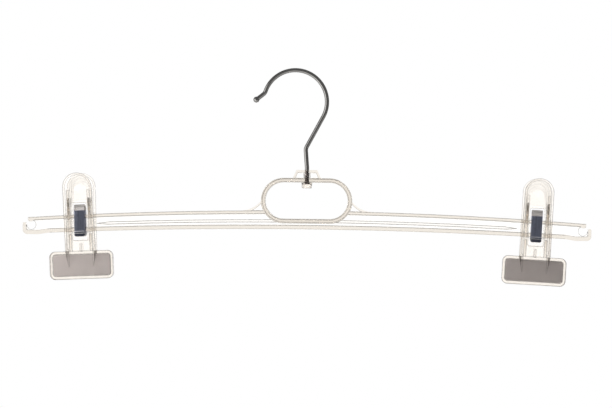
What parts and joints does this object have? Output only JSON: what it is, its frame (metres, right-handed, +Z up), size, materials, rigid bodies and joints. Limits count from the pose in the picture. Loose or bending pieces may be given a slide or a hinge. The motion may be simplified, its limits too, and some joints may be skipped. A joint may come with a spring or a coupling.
{
  "type": "trouser hanger",
  "caption": "Clear moulded trouser hanger with an arched bar, a handle loop, a swivelling wire hook and sliding sprung clips with grey grip pads.",
  "frame": {"origin": "underside of the hook wire straight above the swivel axis, where the hook sits on a rail", "axes": "+X along the bar to the viewer's right, -Y towards the viewer, +Z up along the swivel axis"},
  "size_m": [0.4, 0.0336, 0.1515],
  "materials": {
    "clear_plastic": "clear, polished mould",
    "hook_steel": "bright plated wire",
    "spring_steel": "dark spring strip",
    "grip_pad": "matt, ribbed"
  },
  "bodies": {
    "hook": {"hook": "hook_steel"},
    "hanger": {"hanger_bar": "clear_plastic"},
    "left_carriage": {"left_spring": "spring_steel"},
    "left_front_jaw": {"left_front_jaw": "clear_plastic", "left_front_pad": "grip_pad"},
    "left_rear_jaw": {"left_rear_jaw": "clear_plastic", "left_rear_pad": "grip_pad"},
    "right_carriage": {"right_spring": "spring_steel"},
    "right_front_jaw": {"right_front_jaw": "clear_plastic", "right_front_pad": "grip_pad"},
    "right_rear_jaw": {"right_rear_jaw": "clear_plastic", "right_rear_pad": "grip_pad"}
  },
  "joints": [
    {"name": "hook_swivel", "type": "hinge", "parent": "hook", "child": "hanger", "pos_m": [0, 0, -0.0749], "axis": [0, 0, 1], "continuous": true},
    {"name": "left_clip_slide", "type": "hinge", "parent": "hanger", "child": "left_carriage", "pos_m": [0, 0, -2.8955], "axis": [0, 1, 0], "range_deg": [-0.45, 2]},
    {"name": "left_front_jaw_pivot", "type": "hinge", "parent": "left_carriage", "child": "left_front_jaw", "pos_m": [-0.1601, 0, -0.09607], "axis": [-0.9989, 0, -0.0468], "range_deg": [0, 11], "stiffness_Nm_per_rad": 0.2, "springref_deg": -45.84, "deforming": ["left_spring"]},
    {"name": "left_rear_jaw_pivot", "type": "hinge", "parent": "left_carriage", "child": "left_rear_jaw", "pos_m": [-0.1601, 0, -0.09607], "axis": [0.9989, 0, 0.0468], "range_deg": [0, 11], "deforming": ["left_spring"]},
    {"name": "right_clip_slide", "type": "hinge", "parent": "hanger", "child": "right_carriage", "pos_m": [0, 0, -2.8955], "axis": [0, -1, 0], "range_deg": [-0.41, 2.04]},
    {"name": "right_front_jaw_pivot", "type": "hinge", "parent": "right_carriage", "child": "right_front_jaw", "pos_m": [0.1621, 0, -0.09619], "axis": [-0.9989, 0, 0.0474], "range_deg": [0, 11], "stiffness_Nm_per_rad": 0.2, "springref_deg": -45.84, "deforming": ["right_spring"]},
    {"name": "right_rear_jaw_pivot", "type": "hinge", "parent": "right_carriage", "child": "right_rear_jaw", "pos_m": [0.1621, 0, -0.09619], "axis": [0.9989, 0, -0.0474], "range_deg": [0, 11], "deforming": ["right_spring"]}
  ],
  "couplings": [
    {"joint": "left_rear_jaw_pivot", "follows": "left_front_jaw_pivot", "ratio": 1},
    {"joint": "right_rear_jaw_pivot", "follows": "right_front_jaw_pivot", "ratio": 1}
  ]
}
